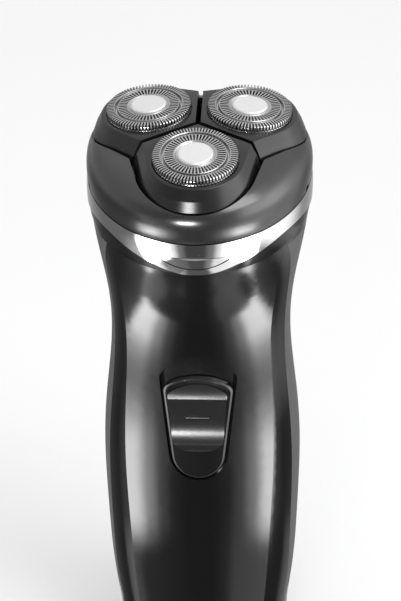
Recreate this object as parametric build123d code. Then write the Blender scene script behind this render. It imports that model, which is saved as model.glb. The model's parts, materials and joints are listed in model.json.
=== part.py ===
from build123d import *
import os
from functools import lru_cache
from math import acos, atan2, cos, pi, radians, sin, sqrt, tan

# Rotary electric shaver with a flip-up head of three floating cutter pods.
# Units are millimetres. +Z is up the handle, -Y is the front with the power slider, and +X is to the right.
# The origin is in the flat foot that the handle stands on, below the middle of the handle.

# ---------------------------------------------------------------- driving dimensions
WALL = 2.2                 # casing wall
SEAM = 0.15                # visible joint between two casing pieces
SPLIT_Y = 0.4              # plane between the front and the back shell
CAP_TOP = 9.0              # joint between the bottom cap and the shells
HEAD_TILT = 9.0            # the head leans forward by this angle
HEAD_Y = -2.5              # the point where the three pods meet, in the handle's frame
HEAD_Z = 157.0
RING_TILT = 15.2           # lower edge of the chrome ring, front lower than back
RING_Z = 132.7             # its height on the handle's axis
RING_TOP = -16.8           # upper edge of the chrome ring, in the head's frame
FRAME_BOTTOM = -16.5       # lower edge of the head frame, in the head's frame
ROUNDNESS = 2.4            # superellipse exponent of the casing outline
NOSE_ROUNDNESS = 2.0       # the same for the front half of the head and of the chrome ring

POD_TILT = 5.0             # each pod's face leans outward
POD_RADIUS = 15.2          # from the middle of the head to a pod's cutter axis
POD_GAP = 1.3              # slot between two pods
POD_AXIS_Z = -6.5          # height of a pod's trunnions in its own frame
POD_REACH = 16.4           # from the middle of the head to a corner of a pod's face, along a slot
TRUNNION_RADIUS = 1.1
POD_ANGLES = {"front": -90.0, "left": 150.0, "right": 30.0}

GUARD_RADIUS = 11.1
GUARD_TOP = 1.7            # height of the slotted guard above the pod's face
GUARD_SHEET = 0.45
GUARD_FLANGE = 11.7        # the flange that holds the guard in its pod
STEM_RADIUS = 1.5          # pin of the guard cap that the cutter turns on
CUTTER_BLADES = 15

GEAR_MODULE = 0.5
PINION_TEETH = 14
GEAR_TEETH = 43
DRIVE_RADIUS = GEAR_MODULE * (PINION_TEETH + GEAR_TEETH) / 2
GEAR_BOTTOM = -25.2
GEAR_TOP = -23.0
SHAFT_RADIUS = 1.0
FIT = 0.05                 # radial clearance of a running fit
HOUSING_FLOOR = (-27.2, -25.8)
HOUSING_TOP = -20.6
HOUSING_RADIUS = 12.1      # each of the gear housing's three lobes

SLIDER_TRAVEL = 4.0
BUTTON_TRAVEL = 0.75

# ---------------------------------------------------------------- frames
HEAD = Plane(
    origin=(0, HEAD_Y, HEAD_Z),
    x_dir=(1, 0, 0),
    z_dir=(0, -sin(radians(HEAD_TILT)), cos(radians(HEAD_TILT))),
)


def tilted_plane(height, tilt, y=0.0):
    """A plane across the handle, lower at the front by tilt degrees."""
    t = radians(tilt)
    return Plane(origin=(0, y, height), x_dir=(1, 0, 0), z_dir=(0, -sin(t), cos(t)))


def pod_plane(angle):
    """A pod's frame within the head's: y outward from the middle of the head, z out of the pod's face."""
    a, t = radians(angle), radians(POD_TILT)
    return Plane(
        origin=(0, 0, 0),
        x_dir=(sin(a), -cos(a), 0),
        z_dir=(cos(a) * sin(t), sin(a) * sin(t), cos(t)),
    )


def in_head(shape):
    return HEAD.location * shape


def in_pod(shape, angle):
    return HEAD.location * (pod_plane(angle).location * shape)


# ---------------------------------------------------------------- small helpers
def block(x0, x1, y0, y1, z0, z1):
    """An axis-aligned box between two corners."""
    return Pos((x0 + x1) / 2, (y0 + y1) / 2, (z0 + z1) / 2) * Box(x1 - x0, y1 - y0, z1 - z0)


def rod(radius, z0, z1, x=0.0, y=0.0):
    """A cylinder along Z."""
    return Pos(x, y, (z0 + z1) / 2) * Cylinder(radius, z1 - z0)


def tube(outer, inner, z0, z1, x=0.0, y=0.0):
    return rod(outer, z0, z1, x, y) - rod(inner, z0 - 1, z1 + 1, x, y)


def cross_rod(radius, x0, x1, y, z):
    """A cylinder along X."""
    return Pos((x0 + x1) / 2, y, z) * (Rot(0, 90, 0) * Cylinder(radius, x1 - x0))


def ring_of(angle):
    """The place of a spindle in the head's frame."""
    return DRIVE_RADIUS * cos(radians(angle)), DRIVE_RADIUS * sin(radians(angle))


def superellipse(share, exponent=ROUNDNESS):
    """Depth of a unit superellipse at a share of its half width."""
    return (1 - share**exponent) ** (1 / exponent)


def largest(shape):
    """The biggest solid of a cut, without the crumbs."""
    return max(shape.solids(), key=lambda s: s.volume)


# ---------------------------------------------------------------- handle casing
# (height on the axis, tilt of the plane, half width, front depth, back depth, half width of the front panel)
HANDLE_SECTIONS = [
    (CAP_TOP, 0.0, 23.2, 17.4, 17.2, 16.4),
    (22.0, 0.0, 24.7, 19.2, 18.8, 17.5),
    (38.0, 0.0, 25.9, 20.6, 20.2, 18.6),
    (57.0, 0.0, 26.6, 21.3, 20.9, 19.6),
    (77.0, 0.0, 25.7, 20.7, 20.2, 19.7),
    (95.0, 3.0, 24.0, 19.4, 18.8, 19.0),
    (110.0, 8.0, 24.9, 20.6, 20.2, 19.6),
    (122.0, 12.0, 27.3, 24.2, 23.6, 21.2),
    (RING_Z, RING_TILT, 29.2, 28.2, 26.0, 22.8),
]
WIDEST_SHIFT = [0.0, 0.0, 0.0, 0.0, 0.0, 0.0, 1.0, 2.4, 4.0]  # the widest point, this far behind the axis
FRONT_ROUNDNESS = [ROUNDNESS] * 6 + [2.3, 2.15, NOSE_ROUNDNESS]  # exponent of each section's front half
PANEL_SHRINK = 0.8         # how much narrower the front panel gets for each unit that the skin moves inward


def even_spline(points, periodic=False):
    """A smooth edge through points. Even parameters let lofted sections share their knots."""
    count = len(points) if periodic else len(points) - 1
    parameters = [i / count for i in range(count + 1)]
    return Edge.make_spline([Vector(*p) for p in points], periodic=periodic, parameters=parameters)


def panel_wire(half_width, front, back, panel, shift, exponent, plane):
    """Casing outline: a shallow front panel with a crease at each side, round flanks and a round back."""
    crease_y = shift - (front + shift) * superellipse(panel / half_width, exponent)
    arc = ThreePointArc((-panel, crease_y), (0, -front), (panel, crease_y))
    depth = back - shift
    side = [
        (0.925 * half_width, shift - 0.92 * superellipse(0.925, exponent) * (front + shift)),
        (half_width, shift),
        (0.94 * half_width, shift + 0.45 * depth),
        (0.72 * half_width, shift + 0.77 * depth),
        (0.38 * half_width, shift + 0.955 * depth),
    ]
    mirrored = [(-x, y) for x, y in reversed(side)]
    points = [(panel, crease_y), *side, (0, back), *mirrored, (-panel, crease_y)]
    return plane.location * Wire([arc.edge(), even_spline(points)])


@lru_cache(maxsize=None)
def handle_skin(inset=0.0, overrun=0.0):
    """The handle's outer surface as a solid, moved inward by inset, and longer at both ends by overrun."""
    wires = []
    last = len(HANDLE_SECTIONS) - 1
    for i, (height, tilt, *half_sizes, panel) in enumerate(HANDLE_SECTIONS):
        lift = -overrun if i == 0 else overrun if i == last else 0.0
        plane = tilted_plane(height, tilt).offset(lift)
        width, front, back = (size - inset for size in half_sizes)
        flat = panel - inset * PANEL_SHRINK
        wires.append(panel_wire(width, front, back, flat, WIDEST_SHIFT[i], FRONT_ROUNDNESS[i], plane))
    return Solid.make_loft(wires)


def grip_side_profile(margin=0.0):
    """Side view of a grip, between the front flank and the back shell, as an outline in Y and Z."""
    bottom, top = 17.0 + margin, 128.0 - margin
    front = [(-6.6, bottom), (-8.6, 40.0), (-9.2, 60.0), (-8.6, 80.0), (-7.2, 98.0), (-8.2, 112.0)]
    front.append((-14.5, top))
    back = [(4.0, top), (7.6, 108.0), (8.6, 80.0), (9.2, 55.0), (8.2, 30.0), (5.5, bottom)]
    front = [(y + margin, z) for y, z in front]
    back = [(y - margin, z) for y, z in back]
    edges = [
        Spline(*front),
        Line(front[-1], back[0]),
        Spline(*back),
        Line(back[-1], front[0]),
    ]
    return Plane.YZ * make_face(edges)


def grip_band(side, depth, margin=0.0):
    """The soft side grip: a layer of the handle's skin within the side profile."""
    prism = extrude(grip_side_profile(margin), amount=40 * side)
    layer = handle_skin() - handle_skin(inset=depth, overrun=1.0)
    return largest(layer & prism)


# The recess of the power slider, in X and Z: a wide round top that narrows downward.
RECESS_TOP, RECESS_BOTTOM = 97.0, 60.8
RECESS_SHOULDER = (10.4, 90.4)
RECESS_FOOT = (7.9, 68.0)


def teardrop(inset=0.0, top=RECESS_TOP, shoulder=RECESS_SHOULDER, corner=2.6):
    """Outline of the recess or of something that lies in it, as a face in the XZ plane."""
    sx, sz = shoulder[0] - inset, shoulder[1]
    fx, fz = RECESS_FOOT[0] - inset, RECESS_FOOT[1]
    outline = [
        ThreePointArc((-sx, sz), (0, top - inset), (sx, sz)),
        Line((sx, sz), (fx, fz)),
        ThreePointArc((fx, fz), (0, RECESS_BOTTOM + inset), (-fx, fz)),
        Line((-fx, fz), (-sx, sz)),
    ]
    face = make_face(outline)
    tops = [v for v in face.vertices() if abs(v.Y - sz) < 1e-6]
    return Plane.XZ * fillet(tops, corner)


def along_y(face, y0, y1):
    """A face in the XZ plane extruded between two depths."""
    return Pos(0, y1, 0) * extrude(face, amount=y1 - y0)


GRIP_DEPTH = 1.25
GRIP_CLEARANCE = 0.05      # behind a grip
GRIP_MARGIN = 0.12         # around a grip
HOUSING_RELIEF = 0.25      # between the gear housing and the pockets for it in the back shell


def make_casing(nodes):
    shell = handle_skin() - handle_skin(inset=WALL, overrun=1.0) + ring_collar()
    front = shell & block(-40, 40, -60, SPLIT_Y, -5, 170)
    back = shell & block(-40, 40, SPLIT_Y + SEAM, 60, -5, 170)
    for side, name in ((1, "right"), (-1, "left")):
        groove = grip_band(side, GRIP_DEPTH)
        front -= groove
        back -= groove
        nodes["grip_" + name] = grip_band(side, GRIP_DEPTH - GRIP_CLEARANCE, margin=GRIP_MARGIN)
    front -= along_y(teardrop(), -40, -10)
    low, high = HOUSING_FLOOR[0] - HOUSING_RELIEF, HOUSING_TOP + HOUSING_RELIEF
    back -= in_head(trefoil(HOUSING_RADIUS + HOUSING_RELIEF, low, high))
    nodes["front_shell"] = largest(front)
    nodes["back_shell"] = largest(back)


# ---------------------------------------------------------------- bottom cap and charging inlet
CAP_FLOOR = 1.8
INLET_HALF = (5.4, 2.9)
INLET_Y = 6.5              # the charging inlet lies behind the middle of the foot
INLET_PIN_X = 3.2
CAP_SCREW_X = 10.4


def cap_skin(inset=0.0):
    """The rounded end of the handle, from its flat foot up to the shells."""
    base = HANDLE_SECTIONS[0]
    profile = [(CAP_TOP - SEAM, 0.0), (5.6, 0.35), (2.8, 1.3), (1.0, 3.0), (0.0, 5.6)]
    wires = []
    for z, pull in profile:
        p = pull + inset
        width, front, back = (size - p for size in base[2:5])
        flat = base[5] - PANEL_SHRINK * p
        wires.append(panel_wire(width, front, back, flat, 0.0, ROUNDNESS, Plane.XY.offset(z)))
    return Solid.make_loft(wires)


def inlet_hole(margin, z0, z1, corner):
    """An opening of the inlet's shape with round corners."""
    half_x, half_y = INLET_HALF[0] + margin, INLET_HALF[1] + margin
    hole = block(-half_x, half_x, INLET_Y - half_y, INLET_Y + half_y, z0, z1)
    return fillet(hole.edges().filter_by(Axis.Z), corner)


def make_bottom(nodes):
    hollow = block(-19.5, 19.5, -12.5, 12.5, CAP_FLOOR, CAP_TOP + 1)
    cap = cap_skin() - fillet(hollow.edges().filter_by(Axis.Z), 7.0)
    for side in (-1, 1):
        cap += rod(3.0, CAP_FLOOR - 0.1, 5.0, side * CAP_SCREW_X)
        cap -= rod(2.0, -1.0, 2.0, side * CAP_SCREW_X) + rod(1.0, -1.0, 6.0, side * CAP_SCREW_X)
    nodes["bottom_cap"] = largest(cap - inlet_hole(0.2, -1.0, 3.0, 2.4))
    body = block(-7.2, 7.2, INLET_Y - 5.2, INLET_Y + 5.2, CAP_FLOOR, 12.0)
    pins = [rod(0.75, 4.6, 12.9, x, INLET_Y) for x in (-INLET_PIN_X, INLET_PIN_X)]
    nodes["charge_socket"] = body - inlet_hole(0.0, CAP_FLOOR - 1, 10.2, 2.2) - pins[0] - pins[1]
    nodes["charge_pins"] = Compound(children=pins)


# ---------------------------------------------------------------- chrome ring and head outline
RING_HEAD = (29.6, 31.5, 26.4)   # upper edge of the ring: half width, front depth, back depth
RING_MIDDLE = (29.75, 30.35, 26.7)
RING_MIDDLE_Z = 137.0
RING_PROUD = 0.35
RING_WALL = 1.6
# lower edge of the ring in front view, in X and Z: it rises from the middle to both sides
RING_SMILE = [(0.0, 125.2), (11.3, 128.1), (18.1, 131.0), (22.7, 133.1), (26.7, 134.0), (31.5, 133.7)]
HEAD_SHIFT = 4.0           # the head is widest this far behind the meeting point of the pods
# (height in the head's frame, half width, front depth, back depth, exponent of the back half)
DOME_SECTIONS = [
    (FRAME_BOTTOM, 29.5, 31.4, 26.3, ROUNDNESS),
    (-12.5, 29.6, 31.5, 26.4, ROUNDNESS),
    (-9.2, 28.8, 30.8, 25.6, 2.3),
    (-7.0, 27.3, 28.9, 23.9, 2.15),
    (-5.6, 24.9, 26.0, 21.3, 2.05),
    (-4.8, 20.8, 21.8, 17.4, 2.0),
]


def oval_wire(half_width, front, back, shift, plane, back_exponent=ROUNDNESS):
    """A smooth egg-shaped outline, longer and rounder at the front."""
    points = []
    count = 20
    for i in range(count):
        t = 2 * pi * i / count
        c, s = cos(t), sin(t)
        power = 2 / (back_exponent if s >= 0 else NOSE_ROUNDNESS)
        reach = (back - shift) if s >= 0 else (front + shift)
        x = half_width * abs(c) ** power * (1 if c >= 0 else -1)
        y = shift + reach * abs(s) ** power * (1 if s >= 0 else -1)
        points.append((x, y))
    return plane.location * Wire([even_spline(points, periodic=True)])


@lru_cache(maxsize=None)
def ring_skin(inset=0.0, overrun=0.0):
    """The chrome ring's outer surface as a solid, between the handle and the head."""
    _, _, width, front, back, _ = HANDLE_SECTIONS[-1]
    low = tilted_plane(RING_Z, RING_TILT).offset(SEAM - overrun)
    high = HEAD.offset(RING_TOP + overrun)
    middle = tilted_plane(RING_MIDDLE_Z, (RING_TILT + HEAD_TILT) / 2)
    foot = [size + RING_PROUD for size in (width, front, back)]
    wires = []
    for sizes, plane in ((foot, low), (RING_MIDDLE, middle), (RING_HEAD, high)):
        wires.append(oval_wire(*(size - inset for size in sizes), HEAD_SHIFT, plane))
    return Solid.make_loft(wires)


def below_smile(drop=0.0):
    """Everything in front of the widest point and below the ring's lower edge, or a drop below that edge."""
    left = [(-x, z) for x, z in reversed(RING_SMILE[1:])]
    edge = [(x, z - drop) for x, z in left + RING_SMILE]
    (x0, z0), (x1, z1) = edge[0], edge[-1]
    floor = 100.0
    outline = [
        Spline(*edge),
        Line((x1, z1), (x1, floor)),
        Line((x1, floor), (x0, floor)),
        Line((x0, floor), (x0, z0)),
    ]
    return along_y(Plane.XZ * make_face(outline), -45, HEAD_SHIFT)


def ring_collar():
    """The rim of the handle that fills the space below the rising edge of the ring."""
    rim = ring_skin(inset=RING_PROUD, overrun=0.3) - ring_skin(inset=RING_WALL, overrun=1.0)
    return rim & below_smile(SEAM)


@lru_cache(maxsize=None)
def dome_skin(inset=0.0, sink=0.0, below=0.0):
    """The head frame's domed outer surface as a solid in the head's frame."""
    wires = []
    for i, (z, *half_sizes, exponent) in enumerate(DOME_SECTIONS):
        height = z - below if i == 0 else z - sink
        width, front, back = (size - inset for size in half_sizes)
        wires.append(oval_wire(width, front, back, HEAD_SHIFT, Plane.XY.offset(height), exponent))
    return Solid.make_loft(wires)


HINGE_Y, HINGE_Z = 25.4, -17.4
HINGE_PIN_RADIUS = 0.9
KNUCKLE_RADIUS = 1.9
KNUCKLE_HALF = 5.0
EAR_OUTER = 8.4
NOTCH_HALF = 9.2

BUTTON_TOP, BUTTON_LOW, BUTTON_HALF = 131.2, 127.2, 9.3
BUTTON_GAP = 0.25
BAR_Y = (-27.9, -27.4)     # the bar behind the button, in the head's frame
ARM_Y = -25.4              # front of the button's two arms
ARM_THICKNESS = 0.7
LIP_Y = -26.1              # inner edge of the lips on the head's tabs


def button_face(inset=0.0):
    """Front view of the release button: a straight top and a round lower edge, in X and Z."""
    half, top, low = BUTTON_HALF - inset, BUTTON_TOP - inset, BUTTON_LOW + inset
    start = BUTTON_TOP - 0.8 + inset
    outline = [
        Line((-half, top), (half, top)),
        Line((half, top), (half, start)),
        ThreePointArc((half, start), (0, low), (-half, start)),
        Line((-half, start), (-half, top)),
    ]
    face = make_face(outline)
    tops = [v for v in face.vertices() if abs(v.Y - top) < 1e-6]
    return Plane.XZ * fillet(tops, 0.5 - inset)


def hinge_notch():
    """Room for the head's hinge at the back of the ring and of the chamber base, in the head's frame."""
    return block(-NOTCH_HALF, NOTCH_HALF, HINGE_Y - 4.6, HINGE_Y + 8.0, HINGE_Z - 2.6, -10.0)


def arm_notch():
    """Room for the button's arms in the chamber base and its seal, in the head's frame."""
    return block(-9.9, 9.9, -40, ARM_Y + ARM_THICKNESS + BUTTON_TRAVEL + 0.35, -30, -10)


def make_ring(nodes):
    ring = ring_skin() - ring_skin(inset=RING_WALL, overrun=1.0)
    ring -= in_head(hinge_notch())
    ring -= along_y(button_face(), -45, -20)
    ring -= below_smile()
    nodes["chrome_ring"] = largest(ring)

    # thumb button: its face falls back to the top as a finger catch
    plate = along_y(button_face(inset=BUTTON_GAP), -36, -22) & ring_skin(inset=0.1)
    plate -= ring_skin(inset=2.4, overrun=1.0)
    catch = Pos(0, -34.3, BUTTON_TOP + 2.2) * (Rot(0, 90, 0) * Cylinder(5.6, 2 * BUTTON_HALF - 2.4))
    button = plate - catch
    # a tongue through the ring, a bar behind it, and an arm with a nose at each end of the bar
    latch = block(-6.0, 6.0, -29.8, BAR_Y[1], -22.6, -21.8)
    latch += block(-9.0, 9.0, *BAR_Y, -22.6, -21.4)
    arm_back = ARM_Y + ARM_THICKNESS
    for side in (-1, 1):
        x0, x1 = sorted((side * 8.1, side * 9.0))
        latch += block(x0, x1, BAR_Y[0], arm_back, -22.4, -21.4)
        latch += block(x0, x1, ARM_Y, arm_back, -22.4, -18.3)
        latch += block(x0, x1, LIP_Y + 0.15, ARM_Y + 0.1, -19.3, -18.3)
    button += in_head(latch) & ring_skin(inset=RING_WALL + 0.3, overrun=1.0)
    nodes["release_button"] = largest(button)


# ---------------------------------------------------------------- chamber base, hinge and gear housing
BASE_TOP, BASE_BOTTOM = -17.2, -18.8
HUB_RADIUS = 2.6
SCREW_RADIUS = 18.0
SCREW_ANGLES = (-30.0, 90.0, 210.0)


def polar(radius, angle):
    return radius * cos(radians(angle)), radius * sin(radians(angle))


def head_slab(z0, z1):
    return block(-60, 60, -60, 60, z0, z1)


def make_chamber(nodes):
    base = ring_skin(inset=1.75, overrun=1.0) & in_head(head_slab(BASE_BOTTOM, BASE_TOP))
    base -= in_head(arm_notch())
    base -= in_head(block(-5.3, 5.3, HINGE_Y - 2.3, 40, -30, -10))
    for side in (-1, 1):
        x0, x1 = sorted((side * 5.3, side * EAR_OUTER))
        base += in_head(cross_rod(KNUCKLE_RADIUS, x0, x1, HINGE_Y, HINGE_Z))
        base += in_head(block(x0, x1, HINGE_Y - 5.6, HINGE_Y, -19.3, -17.4))
    for angle in POD_ANGLES.values():
        x, y = ring_of(angle)
        base += in_head(rod(4.0, -19.4, -16.2, x, y))
        base -= in_head(rod(HUB_RADIUS + FIT, -25, -10, x, y))
    for angle in SCREW_ANGLES:
        x, y = polar(SCREW_RADIUS, angle)
        base += in_head(rod(2.6, -20.4, BASE_BOTTOM + 0.1, x, y))
        base -= in_head(rod(0.9, -21, -18.4, x, y))
    base -= in_head(cross_rod(HINGE_PIN_RADIUS + 0.02, -20, 20, HINGE_Y, HINGE_Z))
    nodes["chamber_base"] = largest(base)
    pin_half = EAR_OUTER - 0.3
    nodes["hinge_pin"] = in_head(cross_rod(HINGE_PIN_RADIUS, -pin_half, pin_half, HINGE_Y, HINGE_Z))
    lip = ring_skin(inset=3.5, overrun=1.0) - ring_skin(inset=4.6, overrun=2.0)
    lip &= in_head(head_slab(BASE_TOP, BASE_TOP + 1.1))
    nodes["chamber_seal"] = lip - in_head(arm_notch())


def trefoil(radius, z0, z1):
    """Three round lobes, one around each drive gear, in the head's frame."""
    lobes = [rod(radius, z0, z1, *ring_of(angle)) for angle in POD_ANGLES.values()]
    return lobes[0] + lobes[1] + lobes[2] + rod(radius - 2.6, z0, z1)


def make_gear_housing(nodes):
    low, floor = HOUSING_FLOOR
    plate = trefoil(HOUSING_RADIUS, low, floor) + rod(SCREW_RADIUS + 2.4, low, floor)
    wall = trefoil(HOUSING_RADIUS, floor, HOUSING_TOP) - trefoil(HOUSING_RADIUS - 0.6, floor - 1, -19)
    housing = plate + wall
    screws = []
    for angle in SCREW_ANGLES:
        x, y = polar(SCREW_RADIUS, angle)
        housing += rod(2.4, floor - 0.1, -20.5, x, y)
        housing -= rod(1.0, -30, -15, x, y)
        screws.append(in_head(rod(0.88, -27.3, -18.8, x, y) + rod(1.9, -28.4, low, x, y)))
    for angle in POD_ANGLES.values():
        housing -= rod(SHAFT_RADIUS + FIT, -30, -20, *ring_of(angle))
    housing -= rod(3.0, -30, -24)
    nodes["gear_housing"] = in_head(housing)
    nodes["housing_screws"] = Compound(children=screws)


# ---------------------------------------------------------------- gear train
PRESSURE = radians(25.0)
TOOTH_SHARE = 0.42         # the tooth's part of the pitch; the rest is the space, with backlash


def involute(angle):
    return tan(angle) - angle


def gear_face(teeth, phase):
    """Outline of a spur gear with involute flanks and a tooth centred on the angle phase."""
    pitch_radius = GEAR_MODULE * teeth / 2
    base_radius = pitch_radius * cos(PRESSURE)
    tip = pitch_radius + 0.9 * GEAR_MODULE
    root = pitch_radius - 1.25 * GEAR_MODULE
    start = max(root, base_radius)
    steps = 4
    flank = []
    for i in range(steps + 1):
        radius = start + (tip - start) * i / steps
        roll = acos(min(1.0, base_radius / radius))
        flank.append((radius, TOOTH_SHARE * pi / teeth + involute(PRESSURE) - involute(roll)))
    if root < start:
        flank.insert(0, (root, flank[0][1]))
    points = []
    for k in range(teeth):
        centre = radians(phase) + 2 * pi * k / teeth
        points += [(r * cos(centre - a), r * sin(centre - a)) for r, a in flank]
        points += [(r * cos(centre + a), r * sin(centre + a)) for r, a in reversed(flank)]
    return make_face(Polyline(*points, close=True))


def mesh_phase(direction):
    """Angle of a drive gear's tooth so that it meshes with a pinion that has a tooth at angle 0."""
    pitch = 360.0 / PINION_TEETH
    offset = (direction + pitch / 2) % pitch - pitch / 2
    return direction + 180 + offset * PINION_TEETH / GEAR_TEETH + 180 / GEAR_TEETH


SPINDLE_TOP = -6.4
SPINDLE_FOOT = -19.2
SPINDLE_RADIUS = 1.6
SPRING_WIRE = 0.2


def coil(radius, wire, pitch, height):
    """A helical compression spring standing on z = 0."""
    path = Helix(pitch=pitch, height=height, radius=radius)
    section = Plane(origin=path @ 0, z_dir=path % 0) * Circle(wire)
    return sweep(section, path=path)


def make_drive(nodes):
    for name, angle in POD_ANGLES.items():
        x, y = ring_of(angle)
        disc = extrude(gear_face(GEAR_TEETH, mesh_phase(angle)), amount=GEAR_TOP - GEAR_BOTTOM)
        gear = Pos(x, y, GEAR_BOTTOM) * disc
        for k in range(5):
            px, py = polar(7.0, 72 * k + angle)
            gear -= rod(2.1, -30, -20, x + px, y + py)
        gear += rod(HUB_RADIUS, GEAR_TOP - 0.1, -16.6, x, y)
        gear += rod(SHAFT_RADIUS, -27.0, GEAR_BOTTOM + 0.1, x, y)
        gear -= rod(SPINDLE_RADIUS + FIT, -24.7, -10, x, y)
        nodes["drive_gear_" + name] = in_head(gear)
        shaft = rod(SPINDLE_RADIUS, SPINDLE_FOOT, -9.4, x, y)
        tip = Pos(x, y, -9.5) * extrude(RegularPolygon(SPINDLE_RADIUS, 6), amount=SPINDLE_TOP + 9.5)
        nodes["spindle_" + name] = in_head(shaft + tip)
        spring = Pos(x, y, -24.5) * coil(1.1, SPRING_WIRE, 0.86, SPINDLE_FOOT + 24.5 - 0.25)
        nodes["spindle_spring_" + name] = in_head(spring)
    pinion = extrude(gear_face(PINION_TEETH, 0.0), amount=GEAR_TOP - GEAR_BOTTOM + 0.6)
    pinion = Pos(0, 0, GEAR_BOTTOM - 0.3) * pinion - rod(SHAFT_RADIUS, -30, -20)
    nodes["pinion"] = in_head(pinion)
    nodes["motor_shaft"] = in_head(rod(SHAFT_RADIUS, -40.0, GEAR_TOP + 0.6))


# ---------------------------------------------------------------- head frame
FRAME_WALL = 1.8
LATCH_X = (27.6, 31.0)     # the small notch at each side of the frame's lower edge
PLATE_TOP, PLATE_BOTTOM = -9.7, -11.0
PLATE_SIZE = (25.8, 27.6, 22.5)  # half width, front depth, back depth
POST_ANGLES = (-30.0, 90.0, 210.0)
COLLAR = (8.4, 7.4)


def pod_outline(grow, gap_half):
    """Plan of a pod: a 120 degree wedge from the middle of the head whose outer end is round."""
    reach = POD_REACH + 1.1 * grow
    gap_x, gap_y = cos(radians(30)), sin(radians(30))
    corner = (reach * gap_x - gap_half * gap_y, reach * gap_y + gap_half * gap_x)
    apex = (0.0, gap_half / gap_x)
    radius = 12.5 + grow
    dx, dy = corner[0], corner[1] - POD_RADIUS
    distance = sqrt(dx * dx + dy * dy)
    turn = atan2(dy, dx) + acos(radius / distance)
    touch = (radius * cos(turn), POD_RADIUS + radius * sin(turn))
    end = (0.0, POD_RADIUS + radius)
    return make_face(
        [
            Line(apex, corner),
            Line(corner, touch),
            ThreePointArc(touch, end, (-touch[0], touch[1])),
            Line((-touch[0], touch[1]), (-corner[0], corner[1])),
            Line((-corner[0], corner[1]), apex),
        ]
    )


def pod_prism(grow, gap_half, z0, z1):
    return Pos(0, 0, z0) * extrude(pod_outline(grow, gap_half), amount=z1 - z0)


def pod_loft(levels, gap_half):
    """A pod's body through (height, grow) levels."""
    faces = [Pos(0, 0, z) * pod_outline(grow, gap_half) for z, grow in levels]
    return loft(faces, ruled=True)


# a pod's side, as (height, growth of its plan): band and bevel
BAND = [(-5.6, 2.8), (-2.7, 1.6), (0.0, 0.0)]
POCKET_FLOOR = -6.3
POCKET_GAP_HALF = -0.6     # below zero, so that neighbouring pockets run into each other


def make_head_frame(nodes):
    frame = dome_skin() - dome_skin(inset=FRAME_WALL, sink=1.6, below=1.0)
    for angle in POST_ANGLES:
        post = Rot(0, 0, angle) * block(18.2, 27.0, -6.6, 6.6, PLATE_TOP, -3.0)
        frame += post & dome_skin(inset=0.5, sink=0.5)
    for angle in POD_ANGLES.values():
        pocket = pod_prism(3.25, POCKET_GAP_HALF, POCKET_FLOOR, 12.0)
        pocket += pod_prism(2.1, POCKET_GAP_HALF, -14.0, POCKET_FLOOR + 0.1)
        pocket += cross_rod(TRUNNION_RADIUS + FIT, -18.6, 18.6, POD_RADIUS, POD_AXIS_Z)
        frame -= pod_plane(angle).location * pocket
    frame -= block(-NOTCH_HALF, NOTCH_HALF, HINGE_Y - 1.4, 32.0, -18.0, -14.8)
    frame -= cross_rod(2.3, -NOTCH_HALF, NOTCH_HALF, HINGE_Y, HINGE_Z)
    for side in (-1, 1):
        frame -= block(*sorted((side * LATCH_X[0], side * LATCH_X[1])), -7.0, -4.6, -17.0, -15.3)
    knuckle = block(-KNUCKLE_HALF, KNUCKLE_HALF, HINGE_Y - 1.3, HINGE_Y + 0.6, -17.0, -13.4)
    knuckle += cross_rod(KNUCKLE_RADIUS, -KNUCKLE_HALF, KNUCKLE_HALF, HINGE_Y, HINGE_Z)
    frame += knuckle - cross_rod(HINGE_PIN_RADIUS + FIT, -20, 20, HINGE_Y, HINGE_Z)
    for side in (-1, 1):
        x0, x1 = sorted((side * 7.6, side * 9.4))
        frame += block(x0, x1, -28.8, -26.6, -15.8, -13.4)
        frame += block(x0, x1, -27.3, -26.6, -21.0, -15.6)
        frame += block(x0, x1, -26.7, LIP_Y, -20.8, -19.8)
    nodes["head_frame"] = in_head(largest(frame))


def make_retaining_plate(nodes):
    outline = oval_wire(*PLATE_SIZE, HEAD_SHIFT, Plane.XY.offset(PLATE_BOTTOM), 2.3)
    plate = extrude(make_face(outline), amount=PLATE_TOP - PLATE_BOTTOM)
    collars, holes = [], []
    for angle in POD_ANGLES.values():
        place = pod_plane(angle).location
        collars.append(place * rod(COLLAR[0], -9.6, -3.0, 0, POD_RADIUS))
        holes.append(place * rod(COLLAR[1], -16, 4, 0, POD_RADIUS))
    for collar in collars:
        plate += collar & head_slab(PLATE_BOTTOM, 0)
    for hole in holes:
        plate -= hole
    plate -= rod(1.5 + FIT, -16, 4)
    nodes["retaining_plate"] = in_head(largest(plate))
    around_tab = rod(6.0, -16, -12.4) - block(-1.5, 1.5, -6, 6, -16, -12.4)
    knob = rod(5.4, -14.6, PLATE_BOTTOM - 0.15) - around_tab
    knob += rod(1.5, PLATE_BOTTOM - 0.2, PLATE_TOP + 0.9)
    knob += rod(2.4, PLATE_TOP + 0.15, PLATE_TOP + 0.9)
    nodes["cutter_lock_knob"] = in_head(knob)


# ---------------------------------------------------------------- cutter pods
def revolved(profile):
    """A solid turned about a pod's cutter axis from an outline in radius and height."""
    face = make_face(Polyline(*profile, close=True))
    return Pos(0, POD_RADIUS, 0) * revolve(Plane.XZ * face, axis=Axis.Z)


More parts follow.
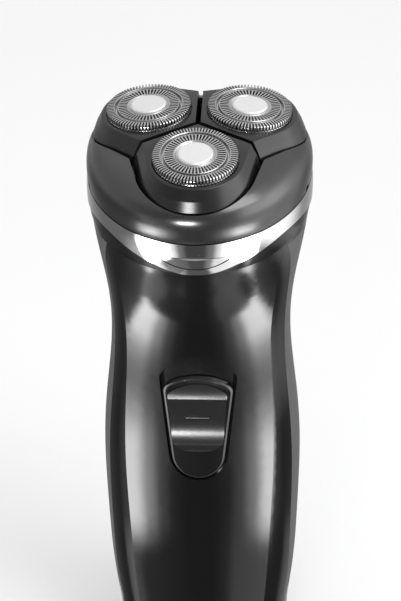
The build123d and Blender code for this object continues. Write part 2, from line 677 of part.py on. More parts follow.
def make_pod(nodes, name, angle):
    pod = pod_loft(BAND, POD_GAP / 2)
    pod -= pod_loft([(-7.0, 1.5), (-1.5, -0.2)], POD_GAP / 2 + 0.4)
    pod -= rod(GUARD_RADIUS + 0.15, -9, 3, 0, POD_RADIUS)
    for side in (-1, 1):
        x0, x1 = sorted((side * 13.2, side * 14.4))
        pod += block(x0, x1, POD_RADIUS - 1.6, POD_RADIUS + 1.6, -8.0, -4.2)
        pod += cross_rod(TRUNNION_RADIUS, *sorted((side * 14.3, side * 18.3)), POD_RADIUS, POD_AXIS_Z)
    nodes["pod_" + name] = in_pod(largest(pod), angle)

    r, top, t = GUARD_RADIUS, GUARD_TOP, GUARD_SHEET
    under, dish, groove = top - t, 1.2, 0.55
    outer_wall = [(r, -1.5), (r, top - 0.5), (r - 0.5, top)]
    step_ring = [(8.95, top), (8.7, groove), (8.35, groove), (8.1, top)]
    dished_middle = [(5.3, top), (4.95, dish), (2.2, dish), (2.2, dish - t), (5.3, dish - t), (5.6, under)]
    step_under = [(7.75, under), (8.0, groove - t), (9.05, groove - t), (9.3, under)]
    inner_wall = [(r - t - 0.2, under), (r - t, under - 0.2), (r - t, -2.1)]
    flange = [(GUARD_FLANGE, -2.1), (GUARD_FLANGE, -1.5)]
    guard = revolved(outer_wall + step_ring + dished_middle + step_under + inner_wall + flange)
    nodes["guard_" + name] = in_pod(guard, angle)
    disc = [(0, 2.07), (4.2, 2.07), (4.55, 1.85), (4.55, dish)]
    stem = [(2.15, dish), (2.15, 0.7), (STEM_RADIUS, 0.7), (STEM_RADIUS, -3.0), (0, -3.0)]
    nodes["guard_cap_" + name] = in_pod(revolved(disc + stem), angle)
    clip = revolved([(11.9, -2.1), (10.75, -2.1), (10.75, -3.3), (11.9, -3.3)])
    nodes["guard_clip_" + name] = in_pod(clip, angle)


def make_cutter(nodes, name, angle):
    ring = revolved([(5.2, -1.0), (10.2, -1.0), (10.2, -0.4), (5.2, -0.4)])
    for k in range(CUTTER_BLADES):
        outer = Pos(9.8, 0, 0) * Rot(35, 0, 0) * Box(1.0, 0.4, 1.6)
        inner = Pos(6.75, 0, 0) * Rot(35, 0, 0) * Box(1.9, 0.4, 1.6)
        blades = (outer + inner) & block(0, 12, -5, 5, -0.5, 0.9)
        ring += Pos(0, POD_RADIUS, 0) * (Rot(0, 0, 360 * k / CUTTER_BLADES) * blades)
    nodes["cutter_" + name] = in_pod(ring, angle)
    bore = STEM_RADIUS + FIT
    hub = [(bore, 0.35), (3.4, 0.35), (4.2, -0.4), (4.2, -1.0)]
    dish = [(9.6, -1.0), (9.6, -1.7), (4.2, -1.7), (4.2, -6.3), (bore, -6.3)]
    carrier = revolved(hub + dish)
    carrier -= Pos(0, POD_RADIUS, -7) * extrude(RegularPolygon(2.75, 6, major_radius=False), amount=3.5)
    nodes["cutter_carrier_" + name] = in_pod(carrier, angle)


# ---------------------------------------------------------------- power slider
PAD_TOP, PAD_FOOT = 90.3, 70.3
STEM_Z = (73.8, 82.0)      # the slider's stem; its slot is longer by the slider's travel
STEM_SLOT = (STEM_Z[0] - 0.4, STEM_Z[1] + SLIDER_TRAVEL + 0.4)
SHOULDER_Z = 87.6
BODY_PROUD = 0.8           # the slider's body above the handle's surface


def slider_face(inset=0.0):
    """Outline of the slider, in X and Z."""
    top_x, foot_x, foot_z = 9.3 - inset, 6.9 - inset, 67.6
    outline = [
        ThreePointArc((-top_x, SHOULDER_Z), (0, 90.9 - inset), (top_x, SHOULDER_Z)),
        Line((top_x, SHOULDER_Z), (foot_x, foot_z)),
        ThreePointArc((foot_x, foot_z), (0, 61.7 + inset), (-foot_x, foot_z)),
        Line((-foot_x, foot_z), (-top_x, SHOULDER_Z)),
    ]
    face = make_face(outline)
    tops = [v for v in face.vertices() if abs(v.Y - SHOULDER_Z) < 1e-6]
    return Plane.XZ * fillet(tops, 2.2)


def pad_face():
    """Outline of the thumb pad on the slider, with a round foot."""
    outline = [
        ThreePointArc((-7.9, 87.9), (0, PAD_TOP), (7.9, 87.9)),
        Line((7.9, 87.9), (6.8, 73.6)),
        ThreePointArc((6.8, 73.6), (0, PAD_FOOT), (-6.8, 73.6)),
        Line((-6.8, 73.6), (-7.9, 87.9)),
    ]
    return Plane.XZ * make_face(outline)


def skin_layer(outside, inside):
    """The layer of the handle between two depths below its surface (negative is proud)."""
    return handle_skin(inset=outside) - handle_skin(inset=inside, overrun=1.0)


def make_slider(nodes):
    bed = along_y(teardrop(inset=0.1), -40, -8) & skin_layer(1.9, 3.2)
    bed += along_y(teardrop(inset=-1.6), -40, -8) & skin_layer(2.3, 3.2)
    bed -= block(-1.9, 1.9, -40, 0, *STEM_SLOT)
    nodes["switch_bed"] = largest(bed)
    trim = along_y(slider_face(), -40, -8) & skin_layer(-0.25, 1.3)
    stem = block(-1.6, 1.6, -20.0, -16.2, *STEM_Z)
    nodes["slider_trim"] = trim + stem
    nodes["slider_body"] = along_y(slider_face(inset=0.5), -40, -8) & skin_layer(-BODY_PROUD, -0.28)
    side_view = make_face(
        [
            Spline((-21.9, 90.4), (-22.7, 88.6), (-23.3, 86.6)),
            Spline((-23.3, 86.6), (-22.45, 82.0), (-22.5, 77.5), (-23.7, 73.4)),
            Spline((-23.7, 73.4), (-23.6, 71.6), (-22.4, 69.9)),
            Line((-22.4, 69.9), (-18.0, 69.9)),
            Line((-18.0, 69.9), (-18.0, 90.4)),
            Line((-18.0, 90.4), (-21.9, 90.4)),
        ]
    )
    pad = along_y(pad_face(), -40, -8) & extrude(Plane.YZ * side_view, amount=20, both=True)
    dash = Pos(0, -22.4, 80.6) * (Rot(0, 90, 0) * Cylinder(0.55, 6.2))
    pad -= handle_skin(inset=-BODY_PROUD)
    dash -= handle_skin(inset=-BODY_PROUD)
    nodes["thumb_pad"] = largest(pad + dash)
    carriage = block(-5.2, 5.2, -16.2, -15.2, 72.2, 83.6)
    carriage += block(-0.7, 0.7, -15.3, -14.2, 76.0, 78.4)
    nodes["slider_carriage"] = carriage


# ---------------------------------------------------------------- inside the handle
BOARD_Y = (-12.6, -11.4)
MOTOR_RADIUS, MOTOR_TOP, MOTOR_BOTTOM = 7.8, -27.2, -52.0
BATTERY_RADIUS, BATTERY_LOW, BATTERY_HIGH, BATTERY_Y = 7.1, 15.2, 65.2, 4.0
CHASSIS_Y = (-10.6, -9.2)
CHASSIS_HALF = 13.0


def make_motor_and_battery(nodes):
    motor = rod(MOTOR_RADIUS, MOTOR_BOTTOM, MOTOR_TOP) + rod(2.9, MOTOR_TOP - 0.1, -25.9)
    motor += rod(3.2, MOTOR_BOTTOM - 1.8, MOTOR_BOTTOM + 0.1)
    motor -= rod(SHAFT_RADIUS + FIT, -40.4, -20)
    nodes["motor"] = in_head(motor)
    battery = rod(BATTERY_RADIUS, BATTERY_LOW, BATTERY_HIGH, 0, BATTERY_Y)
    nodes["battery"] = battery + rod(2.6, BATTERY_HIGH - 0.1, BATTERY_HIGH + 0.8, 0, BATTERY_Y)
    low_tab = block(-3, 3, -9.1, BATTERY_Y + 4, BATTERY_LOW - 0.5, BATTERY_LOW - 0.1)
    high_tab = block(-3, 3, -9.1, BATTERY_Y + 3, BATTERY_HIGH + 0.9, BATTERY_HIGH + 1.3)
    nodes["battery_contacts"] = Compound(children=[low_tab, high_tab])


def make_electronics(nodes):
    nodes["circuit_board"] = block(-12.0, 12.0, *BOARD_Y, 22.0, 102.0)
    switch = block(-4.0, 4.0, -15.0, BOARD_Y[0], 73.0, 86.0)
    nodes["power_switch"] = switch - block(-1.0, 1.0, -16.0, -14.0, 75.6, 83.0)


def make_chassis(nodes):
    front = CHASSIS_Y[0]
    chassis = block(-CHASSIS_HALF, CHASSIS_HALF, *CHASSIS_Y, 13.0, 112.0)
    for side in (-1, 1):
        wall = sorted((side * (CHASSIS_HALF - 1.4), side * CHASSIS_HALF))
        chassis += block(*wall, front, 8.0, 13.0, 72.0)
        for z in (30.0, 95.0):
            chassis += block(*sorted((side * 6.0, side * 8.0)), BOARD_Y[1], front + 0.1, z, z + 2.0)
    for back, low, high in ((12.0, 13.0, 14.5), (12.0, 66.7, 68.2), (6.0, 106.0, 110.5)):
        chassis += block(-CHASSIS_HALF, CHASSIS_HALF, front, back, low, high)
    chassis -= in_head(rod(MOTOR_RADIUS + FIT, -60, -20))
    chassis -= block(-3.4, 3.4, -12, -9.0, BATTERY_LOW - 0.8, BATTERY_LOW + 0.2)
    screws = []
    for side in (-1, 1):
        x = side * CAP_SCREW_X
        chassis -= rod(0.9, 10, 16, x)
        screws.append(rod(0.88, 1.9, 14.5, x) + rod(1.8, 0.7, 2.0, x))
    nodes["chassis"] = largest(chassis)
    nodes["cap_screws"] = Compound(children=screws)


def main():
    nodes = {}
    make_casing(nodes)
    make_bottom(nodes)
    make_ring(nodes)
    make_chamber(nodes)
    make_gear_housing(nodes)
    make_drive(nodes)
    make_head_frame(nodes)
    make_retaining_plate(nodes)
    for name, angle in POD_ANGLES.items():
        make_pod(nodes, name, angle)
        make_cutter(nodes, name, angle)
    make_slider(nodes)
    make_motor_and_battery(nodes)
    make_electronics(nodes)
    make_chassis(nodes)
    os.makedirs("parts", exist_ok=True)
    for name, shape in nodes.items():
        export_step(shape, f"parts/{name}.step")


main()
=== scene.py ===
"""Looks of a rotary electric shaver: slotted guards, soft-edged pods, lacquer, chrome, rubber and steel.

Lengths are in metres. MM turns a size in millimetres into metres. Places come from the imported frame:
its node boxes and its joints' points and axes.
"""
import json
from math import acos, atan2, cos, pi, radians, sin, sqrt

import bmesh
import bpy
from mathutils import Matrix, Vector


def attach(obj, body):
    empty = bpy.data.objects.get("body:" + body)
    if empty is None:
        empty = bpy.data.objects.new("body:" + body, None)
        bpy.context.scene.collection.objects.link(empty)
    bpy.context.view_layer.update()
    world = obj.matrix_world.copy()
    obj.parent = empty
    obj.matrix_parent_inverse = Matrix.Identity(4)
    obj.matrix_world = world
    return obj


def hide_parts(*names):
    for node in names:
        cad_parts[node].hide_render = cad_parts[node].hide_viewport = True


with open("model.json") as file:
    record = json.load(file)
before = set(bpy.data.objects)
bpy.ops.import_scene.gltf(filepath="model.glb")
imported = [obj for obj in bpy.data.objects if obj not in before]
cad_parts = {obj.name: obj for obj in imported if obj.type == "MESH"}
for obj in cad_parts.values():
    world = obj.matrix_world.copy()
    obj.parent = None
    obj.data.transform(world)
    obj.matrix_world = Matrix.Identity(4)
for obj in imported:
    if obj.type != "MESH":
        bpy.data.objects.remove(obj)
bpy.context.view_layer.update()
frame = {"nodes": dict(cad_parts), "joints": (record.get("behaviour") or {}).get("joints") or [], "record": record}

MM = 0.001
SIDES = ("front", "left", "right")
JOINTS = {joint["name"]: joint for joint in frame["joints"]}


# ---------------------------------------------------------------- node materials
def new_material(name):
    """A material with a Principled shader: the material, its nodes, its links and the shader."""
    material = bpy.data.materials.new(name)
    material.use_nodes = True
    nodes, links = material.node_tree.nodes, material.node_tree.links
    shader = nodes["Principled BSDF"]
    return material, nodes, links, shader


def noise(nodes, links, scale, detail=4.0, stretch=(1, 1, 1), roughness=0.5):
    """A noise texture in the object's own metres, stretched along its axes."""
    place = nodes.new("ShaderNodeTexCoord")
    mapping = nodes.new("ShaderNodeMapping")
    mapping.inputs["Scale"].default_value = stretch
    links.new(place.outputs["Object"], mapping.inputs["Vector"])
    texture = nodes.new("ShaderNodeTexNoise")
    texture.inputs["Scale"].default_value = scale
    texture.inputs["Detail"].default_value = detail
    texture.inputs["Roughness"].default_value = roughness
    links.new(mapping.outputs["Vector"], texture.inputs["Vector"])
    return texture.outputs["Fac"]


def ramp(nodes, links, value, low, high, from_low=0.3, from_high=0.7):
    """Maps a noise value to a range of numbers."""
    node = nodes.new("ShaderNodeMapRange")
    node.inputs["From Min"].default_value = from_low
    node.inputs["From Max"].default_value = from_high
    node.inputs["To Min"].default_value = low
    node.inputs["To Max"].default_value = high
    links.new(value, node.inputs["Value"])
    return node.outputs["Result"]


def tint(nodes, links, value, dark, light):
    """Mixes two close colours by a value."""
    node = nodes.new("ShaderNodeMix")
    node.data_type = "RGBA"
    node.inputs["A"].default_value = (*dark, 1)
    node.inputs["B"].default_value = (*light, 1)
    links.new(value, node.inputs["Factor"])
    return node.outputs["Result"]


def bump(nodes, links, value, distance, strength):
    """A relief of the given height from a noise value."""
    node = nodes.new("ShaderNodeBump")
    node.inputs["Distance"].default_value = distance
    node.inputs["Strength"].default_value = strength
    links.new(value, node.inputs["Height"])
    return node.outputs["Normal"]


def moulded(name, dark, light, roughness, grain=2200, depth=0.02 * MM, metallic=0.0, coat=0.0):
    """Plastic, lacquer or rubber: faint colour drift, a fine grain and a slow waviness in its gloss."""
    material, nodes, links, shader = new_material(name)
    drift = noise(nodes, links, 90, detail=3)
    fine = noise(nodes, links, grain, detail=5, roughness=0.6)
    links.new(tint(nodes, links, drift, dark, light), shader.inputs["Base Color"])
    links.new(ramp(nodes, links, fine, roughness * 0.85, roughness * 1.15), shader.inputs["Roughness"])
    links.new(bump(nodes, links, fine, depth, 0.5), shader.inputs["Normal"])
    shader.inputs["Metallic"].default_value = metallic
    shader.inputs["IOR"].default_value = 1.5
    shader.inputs["Coat Weight"].default_value = coat
    shader.inputs["Coat Roughness"].default_value = 0.03
    return material


def metal(name, dark, light, low, high, stretch=(1, 1, 1), grain=1500, depth=0.004 * MM):
    """Bare or plated metal whose roughness and grain follow stretched noise."""
    material, nodes, links, shader = new_material(name)
    lines = noise(nodes, links, grain, detail=4, stretch=stretch)
    smudge = noise(nodes, links, 160, detail=3)
    links.new(tint(nodes, links, smudge, dark, light), shader.inputs["Base Color"])
    links.new(ramp(nodes, links, lines, low, high), shader.inputs["Roughness"])
    links.new(bump(nodes, links, lines, depth, 0.6), shader.inputs["Normal"])
    shader.inputs["Metallic"].default_value = 1.0
    return material


def turned(name, dark, light, low, high, pitch=0.18 * MM, depth=0.004 * MM):
    """Metal with the fine concentric lines of turning, about its object's own Z axis."""
    material, nodes, links, shader = new_material(name)
    place = nodes.new("ShaderNodeTexCoord")
    split = nodes.new("ShaderNodeSeparateXYZ")
    links.new(place.outputs["Object"], split.inputs["Vector"])
    flat = nodes.new("ShaderNodeCombineXYZ")
    links.new(split.outputs["X"], flat.inputs["X"])
    links.new(split.outputs["Y"], flat.inputs["Y"])
    radius = nodes.new("ShaderNodeVectorMath")
    radius.operation = "LENGTH"
    links.new(flat.outputs["Vector"], radius.inputs[0])
    rings = nodes.new("ShaderNodeTexNoise")
    rings.noise_dimensions = "1D"
    rings.inputs["Scale"].default_value = 1 / pitch
    rings.inputs["Detail"].default_value = 3
    links.new(radius.outputs["Value"], rings.inputs["W"])
    smudge = noise(nodes, links, 220, detail=3)
    links.new(tint(nodes, links, smudge, dark, light), shader.inputs["Base Color"])
    links.new(ramp(nodes, links, rings.outputs["Fac"], low, high), shader.inputs["Roughness"])
    links.new(bump(nodes, links, rings.outputs["Fac"], depth, 0.5), shader.inputs["Normal"])
    shader.inputs["Metallic"].default_value = 1.0
    return material


def grey(value):
    return (value, value, value * 1.01)


# Each slot of the record: how it is made, its two close colours, and its other settings.
MATERIALS = {
    "gloss_black": (moulded, grey(0.003), grey(0.005), dict(roughness=0.13, grain=900, depth=0.002 * MM)),
    "matte_black": (moulded, grey(0.018), grey(0.026), dict(roughness=0.42)),
    "grip_rubber": (moulded, grey(0.062), grey(0.078), dict(roughness=0.66, grain=3000, depth=0.05 * MM)),
    "bright_chrome": (metal, grey(0.80), grey(0.86), dict(low=0.04, high=0.09, grain=700, depth=0.001 * MM)),
    "gunmetal": (
        moulded, grey(0.075), grey(0.095), dict(roughness=0.22, grain=4000, depth=0.0015 * MM, metallic=0.85)
    ),
    "pod_grey": (moulded, grey(0.006), grey(0.009), dict(roughness=0.24, grain=2600, depth=0.008 * MM)),
    "guard_steel": (turned, grey(0.48), grey(0.60), dict(low=0.12, high=0.26)),
    "cap_silver": (turned, grey(0.84), grey(0.90), dict(low=0.42, high=0.55)),
    # blade_steel is painted dark, a painted shade: the cutters' steel is darkened to stand for the shadow it lies
    # in under the guards.
    "blade_steel": (metal, grey(0.10), grey(0.16), dict(low=0.22, high=0.36)),
    "white_pom": (moulded, (0.62, 0.62, 0.60), (0.72, 0.72, 0.69), dict(roughness=0.38)),
    "seal_rubber": (moulded, grey(0.012), grey(0.018), dict(roughness=0.7, depth=0.04 * MM)),
    "switch_black": (moulded, grey(0.004), grey(0.007), dict(roughness=0.16, grain=900, depth=0.003 * MM)),
    "pad_grey": (moulded, grey(0.010), grey(0.014), dict(roughness=0.20, grain=2600, depth=0.004 * MM)),
    "motor_steel": (metal, grey(0.5), grey(0.6), dict(low=0.25, high=0.4)),
    "shaft_steel": (metal, grey(0.55), grey(0.65), dict(low=0.15, high=0.25, stretch=(1, 1, 0.1))),
    "brass_pin": (metal, (0.55, 0.38, 0.14), (0.65, 0.47, 0.2), dict(low=0.2, high=0.32)),
    "cell_green": (moulded, (0.02, 0.13, 0.06), (0.03, 0.17, 0.08), dict(roughness=0.3, coat=0.3)),
    "nickel_strip": (metal, (0.5, 0.49, 0.46), (0.6, 0.58, 0.55), dict(low=0.25, high=0.4)),
    "board_green": (moulded, (0.01, 0.07, 0.03), (0.015, 0.1, 0.04), dict(roughness=0.35, coat=0.3)),
    "chassis_grey": (moulded, grey(0.10), grey(0.13), dict(roughness=0.5)),
    "screw_steel": (metal, grey(0.35), grey(0.45), dict(low=0.22, high=0.35)),
}
made = {slot: make(slot, dark, light, **rest) for slot, (make, dark, light, rest) in MATERIALS.items()}


def dress(obj, slot):
    """Gives a piece one material, the finish of a slot of the record."""
    obj.data.materials.clear()
    obj.data.materials.append(made[slot])


for part in frame["record"]["subparts"]:
    node = frame["nodes"][part["node"]]
    node.data.materials.clear()
    node.data.materials.append(made[part["material_slot"]])


# ---------------------------------------------------------------- mesh helpers
SHARP_ANGLE = radians(32)


def finish_mesh(name, bm, slot, body, matrix):
    """A smooth-shaded object from bm, with edges over SHARP_ANGLE kept crisp, that rides on a body."""
    bmesh.ops.recalc_face_normals(bm, faces=bm.faces)
    for face in bm.faces:
        face.smooth = True
    for edge in bm.edges:
        edge.smooth = edge.is_manifold and edge.calc_face_angle(0) < SHARP_ANGLE
    mesh = bpy.data.meshes.new(name)
    bm.to_mesh(mesh)
    bm.free()
    obj = bpy.data.objects.new(name, mesh)
    bpy.context.scene.collection.objects.link(obj)
    obj.matrix_world = matrix
    dress(obj, slot)
    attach(obj, body)
    return obj


def lathe(bm, profile, start=0.0, sweep=2 * pi, steps=96):
    """Turns a closed outline of (radius, height) in millimetres about Z, all round or by part of a turn."""
    full = sweep >= 2 * pi - 1e-9
    count = steps if full else steps + 1
    rings = []
    for i in range(count):
        a = start + sweep * i / steps
        rings.append([bm.verts.new((r * MM * cos(a), r * MM * sin(a), z * MM)) for r, z in profile])
    for i in range(steps):
        one, two = rings[i], rings[(i + 1) % count]
        for k in range(len(profile)):
            n = (k + 1) % len(profile)
            bm.faces.new((one[k], two[k], two[n], one[n]))
    if not full:
        bm.faces.new(rings[0])
        bm.faces.new(list(reversed(rings[-1])))


def pod_matrix(side):
    """A pod's frame: origin at its cutter axis on its face, X along its tilt axis, Z out of the face."""
    spin, tilt = JOINTS[f"cutter_spin_{side}"], JOINTS[f"pod_tilt_{side}"]
    z = Vector(spin["axis"])
    x = Vector(tilt["axis"])
    y = z.cross(x)
    matrix = Matrix((x, y, z)).transposed().to_4x4()
    matrix.translation = Vector(spin["pos_m"])
    return matrix


# ---------------------------------------------------------------- slotted guards
GUARD_TOP = 1.7
GUARD_RADIUS = 11.1
GUARD_INSIDE = 10.7
FLANGE_RADIUS = 11.7
SHEET = 0.42
OUTER_BARS = 80
INNER_BARS = 52
BAR_SHARE = 0.42


def make_guard(side):
    """A stainless guard: two tracks of radial bars between full rings, and a dished middle."""
    bm = bmesh.new()
    top, under = GUARD_TOP, GUARD_TOP - SHEET
    rim, inside = GUARD_RADIUS, GUARD_INSIDE
    wall = [
        (FLANGE_RADIUS, -2.1), (FLANGE_RADIUS, -1.5), (rim, -1.5), (rim, 0.15),
        (rim - 0.05, 0.25), (inside, 0.25), (inside, -2.1),
    ]
    middle = [
        (9.12, top - 0.02), (9.02, top + 0.02), (8.92, top - 0.06), (8.68, 0.62), (8.6, 0.55), (8.42, 0.55),
        (8.34, 0.62), (8.12, top - 0.06), (8.02, top + 0.02), (7.92, top - 0.02), (7.92, under),
        (8.0, under), (8.2, 0.2), (8.85, 0.2), (9.04, under), (9.12, under),
    ]
    dish = [
        (5.62, top - 0.02), (5.5, top + 0.02), (5.34, top - 0.05), (5.0, 1.24), (4.9, 1.2),
        (2.2, 1.2), (2.2, 0.8), (5.2, 0.8), (5.5, under), (5.62, under),
    ]
    for profile in (wall, middle, dish):
        lathe(bm, profile)
    outer = [
        (rim, 0.1), (rim, top - 0.5), (rim - 0.08, top - 0.24), (rim - 0.24, top - 0.08), (rim - 0.5, top),
        (9.05, top), (9.05, under), (10.5, under), (inside, top - 0.6), (inside, 0.1),
    ]
    inner = [(8.0, top), (5.55, top), (5.55, under), (8.0, under)]
    for profile, bars in ((outer, OUTER_BARS), (inner, INNER_BARS)):
        pitch = 2 * pi / bars
        for k in range(bars):
            lathe(bm, profile, start=pitch * k, sweep=pitch * BAR_SHARE, steps=1)
    guard = finish_mesh(f"slotted_guard_{side}", bm, "guard_steel", f"{side}_pod", pod_matrix(side))
    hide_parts(f"guard_{side}")


for side in SIDES:
    make_guard(side)

# ---------------------------------------------------------------- soft-edged pods
POD_RADIUS = 15.2
POD_REACH = 16.4
POD_END_RADIUS = 12.5
POD_GAP_HALF = 0.65
HOLE_RADIUS = 11.25
TRUNNION_Z = -6.5
TRUNNION_RADIUS = 1.1
TRUNNION_SIDES = 20
LUG_X = (13.2, 14.4)
TRUNNION_X = (14.3, 18.3)


def pod_outline(grow, gap_half, count=14):
    """Plan of a pod about its cutter axis, in millimetres: a wedge whose outer end is round."""
    reach = POD_REACH + 1.1 * grow
    gap_x, gap_y = cos(radians(30)), sin(radians(30))
    corner = (reach * gap_x - gap_half * gap_y, reach * gap_y + gap_half * gap_x - POD_RADIUS)
    apex = (0.0, gap_half / gap_x - POD_RADIUS)
    radius = POD_END_RADIUS + grow
    turn = atan2(corner[1], corner[0]) + acos(radius / sqrt(corner[0] ** 2 + corner[1] ** 2))
    right = [apex]
    for share in (0.25, 0.5, 0.75, 1.0):
        right.append(tuple(apex[i] + (corner[i] - apex[i]) * share for i in (0, 1)))
    touch = (radius * cos(turn), radius * sin(turn))
    for share in (0.5, 1.0):
        right.append(tuple(corner[i] + (touch[i] - corner[i]) * share for i in (0, 1)))
    for k in range(1, count + 1):
        a = turn + (pi / 2 - turn) * k / count
        right.append((radius * cos(a), radius * sin(a)))
    left = [(-x, y) for x, y in reversed(right[1:-1])]
    return right + left


def slab(bm, outline, x0, x1):
    """A prism along X over an outline of (y, z), in millimetres."""
    one = [bm.verts.new((x0 * MM, y * MM, z * MM)) for y, z in outline]
    two = [bm.verts.new((x1 * MM, y * MM, z * MM)) for y, z in outline]
    bm.faces.new(one)
    bm.faces.new(list(reversed(two)))
    for k in range(len(outline)):
        n = (k + 1) % len(outline)
        bm.faces.new((one[k], one[n], two[n], two[k]))


def lug_and_pin(bm, sign):
    """One of the two lugs that carry the pod, with its pin."""
    corners = [(-1.6, -4.2), (-1.6, -7.2), (-0.8, -8.0), (0.8, -8.0), (1.6, -7.2), (1.6, -4.2)]
    slab(bm, corners, *sorted(sign * x for x in LUG_X))
    turns = [2 * pi * k / TRUNNION_SIDES for k in range(TRUNNION_SIDES)]
    circle = [(TRUNNION_RADIUS * cos(a), TRUNNION_Z + TRUNNION_RADIUS * sin(a)) for a in turns]
    slab(bm, circle, *sorted(sign * x for x in TRUNNION_X))


def make_pod(side):
    """A pod's housing: a flat face with a round hole, a bevel, a lower band and a hollow inside."""
    bm = bmesh.new()
    # (height, growth of the outline, half gap) from the face's edge down and back up the inside
    stations = [
        (0.0, -0.16, 0.80), (-0.05, -0.03, 0.68), (-0.18, 0.08, POD_GAP_HALF), (-2.58, 1.50, POD_GAP_HALF),
        (-2.70, 1.59, POD_GAP_HALF), (-2.84, 1.65, POD_GAP_HALF), (-5.42, 2.76, POD_GAP_HALF),
        (-5.60, 2.72, 0.72), (-5.60, 1.30, 1.05), (-1.5, -0.2, 1.05),
    ]
    rings = []
    for z, grow, gap in stations:
        rings.append([bm.verts.new((x * MM, y * MM, z * MM)) for x, y in pod_outline(grow, gap)])
    angles = [atan2(y, x) for x, y in pod_outline(0.0, POD_GAP_HALF)]
    for z, radius in ((-1.5, HOLE_RADIUS), (-0.12, HOLE_RADIUS), (0.0, HOLE_RADIUS + 0.12)):
        rings.append([bm.verts.new((radius * MM * cos(a), radius * MM * sin(a), z * MM)) for a in angles])
    count = len(angles)
    for i in range(len(rings)):
        one, two = rings[i], rings[(i + 1) % len(rings)]
        for k in range(count):
            n = (k + 1) % count
            bm.faces.new((one[k], one[n], two[n], two[k]))
    for sign in (-1, 1):
        lug_and_pin(bm, sign)
    bm.transform(pod_matrix(side))
    pod = finish_mesh(f"pod_housing_{side}", bm, "pod_grey", f"{side}_pod", Matrix())
    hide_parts(f"pod_{side}")


for side in SIDES:
    make_pod(side)

# ---------------------------------------------------------------- floor, light and camera
FLOOR_HALF = 3.0


def add_floor():
    """A plain pale floor that the glossy pieces don't reflect."""
    half = FLOOR_HALF
    corners = [(-half, -half, 0), (half, -half, 0), (half, half, 0), (-half, half, 0)]
    mesh = bpy.data.meshes.new("floor")
    mesh.from_pydata(corners, [], [(0, 1, 2, 3)])
    floor = bpy.data.objects.new("floor", mesh)
    bpy.context.scene.collection.objects.link(floor)
    material, nodes, links, shader = new_material("pale_floor")
    shade = tint(nodes, links, noise(nodes, links, 4), grey(0.86), grey(0.88))
    links.new(shade, shader.inputs["Base Color"])
    shader.inputs["Roughness"].default_value = 0.7
    mesh.materials.append(material)
    floor.visible_glossy = False


def add_light(name, place, target, size, power):
    """A rectangular soft box that faces a point."""
    data = bpy.data.lights.new(name, "AREA")
    data.shape = "RECTANGLE"
    data.size, data.size_y = size
    data.energy = power
    light = bpy.data.objects.new(name, data)
    bpy.context.scene.collection.objects.link(light)
    light.location = place
    light.rotation_euler = (Vector(target) - Vector(place)).to_track_quat("-Z", "Y").to_euler()


# What glossy surfaces see, as (azimuth, brightness): 0 degrees is in front of the shaver, 90 to its right.
# LOW, MIDDLE and UPPER are heights of a round screen about the shaver, with a bright strip at each front
# corner. UPPER, LEVEL and ABOVE are heights of the sky beyond it.
LOW = [
    (-180, 0.9), (-155, 0.9), (-132, 0.15), (-98, 0.08), (-90, 0.9), (-74, 1.6), (-62, 1.2), (-50, 0.25),
    (-20, 0.15), (-10, 0.08), (8, 0.08), (18, 0.25), (28, 0.9), (58, 1.1), (68, 0.12), (104, 0.08),
    (116, 0.4), (147, 0.5), (180, 0.9),
]
MIDDLE = [
    (-180, 0.9), (-155, 0.9), (-140, 0.15), (-100, 0.12), (-76, 0.5), (-66, 13.0), (-54, 13.0), (-42, 4.5),
    (-32, 1.0), (-22, 0.2), (-12, 0.06), (8, 0.06), (20, 0.2), (30, 0.9), (40, 3.4), (52, 13.0), (66, 13.0),
    (78, 0.4), (100, 0.12), (140, 0.15), (155, 0.9), (180, 0.9),
]
UPPER = [
    (-180, 0.5), (-120, 0.15), (-75, 0.15), (-60, 1.0), (-45, 0.6), (-25, 0.1), (20, 0.1), (45, 0.7),
    (60, 1.6), (85, 1.7), (110, 1.2), (140, 0.3), (180, 0.5),
]
LEVEL = [
    (-180, 0.7), (-125, 0.6), (-105, 0.7), (-88, 0.6), (-65, 0.3), (-30, 0.12), (10, 0.12), (40, 0.5),
    (60, 3.0), (90, 3.4), (115, 1.4), (140, 0.6), (180, 0.7),
]
ABOVE = [(-180, 0.95), (-90, 0.7), (-30, 0.5), (0, 0.6), (40, 1.2), (90, 1.3), (140, 1.0), (180, 0.95)]
SCREEN_STEPS = ((-0.045, -0.03), (0.024, 0.056))   # heights between which one band turns into the next
SKY_STEPS = ((-0.30, -0.08), (0.30, 0.70))         # the same, as the height of a unit direction
BRIGHTEST = 20.0
AMBIENT = 0.95
SCREEN_RADIUS = 0.13
SCREEN_FOOT = -0.20
SCREEN_TOP = 0.06
SCREEN_SIDES = 96


def around(nodes, links, turn, stops):
    """Brightness over azimuth as a ramp."""
    node = nodes.new("ShaderNodeValToRGB")
    node.color_ramp.interpolation = "EASE"
    elements = node.color_ramp.elements
    elements.remove(elements[1])
    for k, (azimuth, value) in enumerate(stops):
        place = azimuth / 360 + 0.5
        element = elements[0] if k == 0 else elements.new(place)
        element.position = place
        element.color = (*[value / BRIGHTEST] * 3, 1)
    links.new(turn, node.inputs["Fac"])
    return node.outputs["Color"]


def math_node(nodes, links, operation, one, two):
    """A sum or other operation on two numbers or outputs."""
    node = nodes.new("ShaderNodeMath")
    node.operation = operation
    for k, value in enumerate((one, two)):
        if isinstance(value, float):
            node.inputs[k].default_value = value
        else:
            links.new(value, node.inputs[k])
    return node.outputs["Value"]


def blend_colours(nodes, links, factor, one, two):
    """One colour or output turned into another by a factor."""
    node = nodes.new("ShaderNodeMix")
    node.data_type = "RGBA"
    links.new(factor, node.inputs["Factor"])
    for socket, value in (("A", one), ("B", two)):
        if isinstance(value, tuple):
            node.inputs[socket].default_value = value
        else:
            links.new(value, node.inputs[socket])
    return node.outputs["Result"]


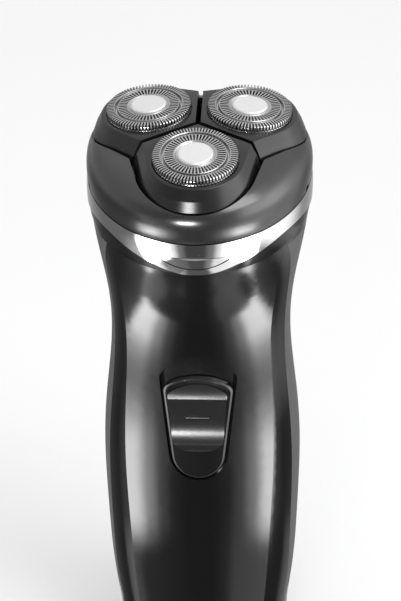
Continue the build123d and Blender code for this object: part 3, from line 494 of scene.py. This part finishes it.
def turn_of(nodes, links, vector):
    """The azimuth of a vector as a share of a turn, 0.5 in front, and its height."""
    split = nodes.new("ShaderNodeSeparateXYZ")
    links.new(vector, split.inputs["Vector"])
    front = math_node(nodes, links, "MULTIPLY", split.outputs["Y"], -1.0)
    azimuth = math_node(nodes, links, "ARCTAN2", split.outputs["X"], front)
    turn = math_node(nodes, links, "MULTIPLY_ADD", azimuth, 0.5 / pi)
    turn.node.inputs[2].default_value = 0.5
    return turn, split.outputs["Z"]


def layers(nodes, links, vector, bands, steps):
    """Brightness from one band of stops to the next between pairs of heights."""
    turn, height = turn_of(nodes, links, vector)
    colour = around(nodes, links, turn, bands[0])
    for stops, (low, high) in zip(bands[1:], steps):
        factor = ramp(nodes, links, height, 0.0, 1.0, from_low=low, from_high=high)
        colour = blend_colours(nodes, links, factor, colour, around(nodes, links, turn, stops))
    strength = nodes.new("ShaderNodeVectorMath")
    strength.operation = "SCALE"
    strength.inputs["Scale"].default_value = BRIGHTEST
    links.new(colour, strength.inputs[0])
    return strength.outputs["Vector"]


def add_world():
    """Even light for everything matte, and the studio's boxes for everything glossy."""
    world = bpy.data.worlds.new("studio")
    world.use_nodes = True
    nodes, links = world.node_tree.nodes, world.node_tree.links
    direction = nodes.new("ShaderNodeTexCoord").outputs["Generated"]
    studio = layers(nodes, links, direction, (UPPER, LEVEL, ABOVE), SKY_STEPS)
    kind = nodes.new("ShaderNodeLightPath")
    lit = blend_colours(nodes, links, kind.outputs["Is Glossy Ray"], (AMBIENT,) * 3 + (1,), studio)
    shown = blend_colours(nodes, links, kind.outputs["Is Camera Ray"], lit, (1, 1, 1, 1))
    links.new(shown, nodes["Background"].inputs["Color"])
    world.cycles.sampling_method = "NONE"
    bpy.context.scene.world = world


def add_screen():
    """A round light screen about the shaver, which only reflections see."""
    bm = bmesh.new()
    turns = [2 * pi * k / SCREEN_SIDES for k in range(SCREEN_SIDES)]
    rows = []
    for z in (SCREEN_FOOT, SCREEN_TOP):
        rows.append([bm.verts.new((SCREEN_RADIUS * cos(a), SCREEN_RADIUS * sin(a), z)) for a in turns])
    for k in range(SCREEN_SIDES):
        n = (k + 1) % SCREEN_SIDES
        bm.faces.new((rows[0][k], rows[0][n], rows[1][n], rows[1][k]))
    mesh = bpy.data.meshes.new("light_screen")
    bm.to_mesh(mesh)
    bm.free()
    screen = bpy.data.objects.new("light_screen", mesh)
    bpy.context.scene.collection.objects.link(screen)
    material, nodes, links, _ = new_material("light_screen")
    place = nodes.new("ShaderNodeTexCoord").outputs["Object"]
    glow = nodes.new("ShaderNodeEmission")
    bands = layers(nodes, links, place, (LOW, MIDDLE, UPPER), SCREEN_STEPS)
    links.new(bands, glow.inputs["Color"])
    links.new(glow.outputs["Emission"], nodes["Material Output"].inputs["Surface"])
    material.cycles.emission_sampling = "NONE"
    mesh.materials.append(material)
    for kind in ("camera", "diffuse", "shadow", "transmission", "volume_scatter"):
        setattr(screen, f"visible_{kind}", False)


CAMERA_PLACE = Vector((0.0371, -0.7131, 0.4735))
CAMERA_AIM = Vector((0.0010, -0.020, 0.1142))
CAMERA_ROLL = radians(0.71)
CAMERA_LENS = 180.3


def add_camera():
    data = bpy.data.cameras.new("camera")
    data.lens = CAMERA_LENS
    data.clip_start = 0.01
    camera = bpy.data.objects.new("camera", data)
    bpy.context.scene.collection.objects.link(camera)
    back = (CAMERA_PLACE - CAMERA_AIM).normalized()
    right = Vector((0, 0, 1)).cross(back).normalized()
    up = back.cross(right)
    turned_up = up * cos(CAMERA_ROLL) + right * sin(CAMERA_ROLL)
    turned_right = right * cos(CAMERA_ROLL) - up * sin(CAMERA_ROLL)
    camera.matrix_world = Matrix((turned_right, turned_up, back)).transposed().to_4x4()
    camera.location = CAMERA_PLACE
    bpy.context.scene.camera = camera


add_floor()
add_world()
add_screen()
add_light("key", (0.45, -0.35, 0.75), (0, 0, 0.1), (0.5, 0.5), 3.0)
add_light("low_box", (-0.09, -0.48, 0.055), (0, 0, 0.145), (0.14, 0.07), 1.6)
add_camera()
bpy.context.scene.view_settings.view_transform = "Standard"
